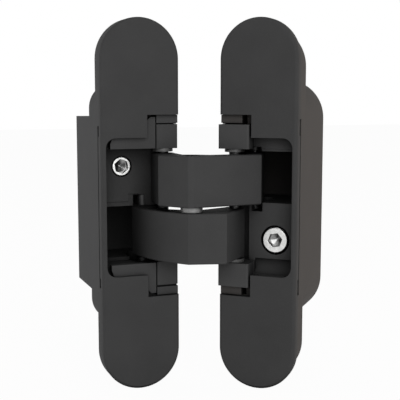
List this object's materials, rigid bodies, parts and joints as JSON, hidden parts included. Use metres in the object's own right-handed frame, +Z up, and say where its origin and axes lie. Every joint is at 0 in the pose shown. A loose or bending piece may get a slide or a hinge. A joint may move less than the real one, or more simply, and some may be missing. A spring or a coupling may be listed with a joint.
{
  "type": "concealed door hinge",
  "caption": "Concealed door hinge with two crossed arms that fold into mortised leaf bodies, with depth and side adjusting screws, shown part open.",
  "frame": {"origin": "centre of the left flange's back face, midway between its four screw holes", "axes": "+Z up along both leaves, +Y into the frame behind the left leaf, +X towards the right leaf"},
  "size_m": [0.0738, 0.0516, 0.111],
  "materials": {
    "left_casting": "matte powder coat on zinc alloy",
    "right_casting": "matte powder coat on zinc alloy",
    "cover": "satin coated cap",
    "carrier": "satin coated casting",
    "keeper": "satin coated plate",
    "arm": "satin coated arm",
    "zinc_screw": "bright zinc plate",
    "spring_steel": "oiled spring steel",
    "pin_steel": "ground steel",
    "bush": "moulded bearing plastic",
    "shoe": "moulded bearing plastic"
  },
  "bodies": {
    "left_leaf": {"left_body": "left_casting", "left_cover": "cover", "left_upper_keeper": "keeper", "left_lower_keeper": "keeper", "left_keeper_screws": "zinc_screw"},
    "left_carriage": {"left_carrier": "carrier", "left_knuckle_pin": "pin_steel", "left_upper_bush": "bush", "left_lower_bush": "bush"},
    "depth_adjuster": {"left_depth_screw": "zinc_screw", "left_depth_ring": "spring_steel"},
    "upper_link": {"upper_arm": "arm", "centre_pin": "pin_steel", "centre_washer": "bush", "upper_slide_pin": "pin_steel", "upper_slide_shoes": "shoe"},
    "lower_link": {"lower_arm": "arm", "lower_slide_pin": "pin_steel", "lower_slide_shoes": "shoe"},
    "right_carriage": {"right_carrier": "carrier", "right_knuckle_pin": "pin_steel", "right_upper_bush": "bush", "right_lower_bush": "bush"},
    "side_adjuster": {"right_side_screw": "zinc_screw", "right_side_ring": "spring_steel"},
    "right_leaf": {"right_body": "right_casting", "right_cover": "cover", "right_upper_keeper": "keeper", "right_lower_keeper": "keeper", "right_keeper_screws": "zinc_screw"}
  },
  "joints": [
    {"name": "depth_slide", "type": "slide", "parent": "left_leaf", "child": "left_carriage", "axis": [0, 1, 0], "range_m": [-0.00075, 0.00075]},
    {"name": "depth_screw_turn", "type": "hinge", "parent": "left_carriage", "child": "depth_adjuster", "pos_m": [-0.003, 0.022, 0.0115], "axis": [0, 1, 0], "range_deg": [-270.1, 270.1]},
    {"name": "door_swing", "type": "hinge", "parent": "left_carriage", "child": "upper_link", "pos_m": [0.0085, -0.0008, 0], "axis": [0, 0, 1], "range_deg": [-90.57, 28.08]},
    {"name": "arm_cross", "type": "hinge", "parent": "upper_link", "child": "lower_link", "pos_m": [0.01268, -0.01464, 0], "axis": [0, 0, 1], "range_deg": [-13.7, 44.15]},
    {"name": "right_knuckle", "type": "hinge", "parent": "lower_link", "child": "right_carriage", "pos_m": [0.0281, -0.01056, 0], "axis": [0, 0, 1], "range_deg": [-90.98, 28.21]},
    {"name": "side_screw_turn", "type": "hinge", "parent": "right_carriage", "child": "side_adjuster", "pos_m": [0.05368, -0.00039, -0.0105], "axis": [0.6769, 0.7361, 0], "range_deg": [-30.1, 30.1]},
    {"name": "side_slide", "type": "slide", "parent": "right_carriage", "child": "right_leaf", "axis": [0.7361, -0.6769, 0], "range_m": [-0.0005, 0.0005]}
  ],
  "couplings": [
    {"joint": "depth_screw_turn", "follows": "depth_slide", "rad_per_m": 6283.2},
    {"joint": "arm_cross", "follows": "door_swing", "ratio": -0.48735},
    {"joint": "right_knuckle", "follows": "door_swing", "ratio": 1.0043},
    {"joint": "side_screw_turn", "follows": "side_slide", "rad_per_m": 1047.2}
  ]
}
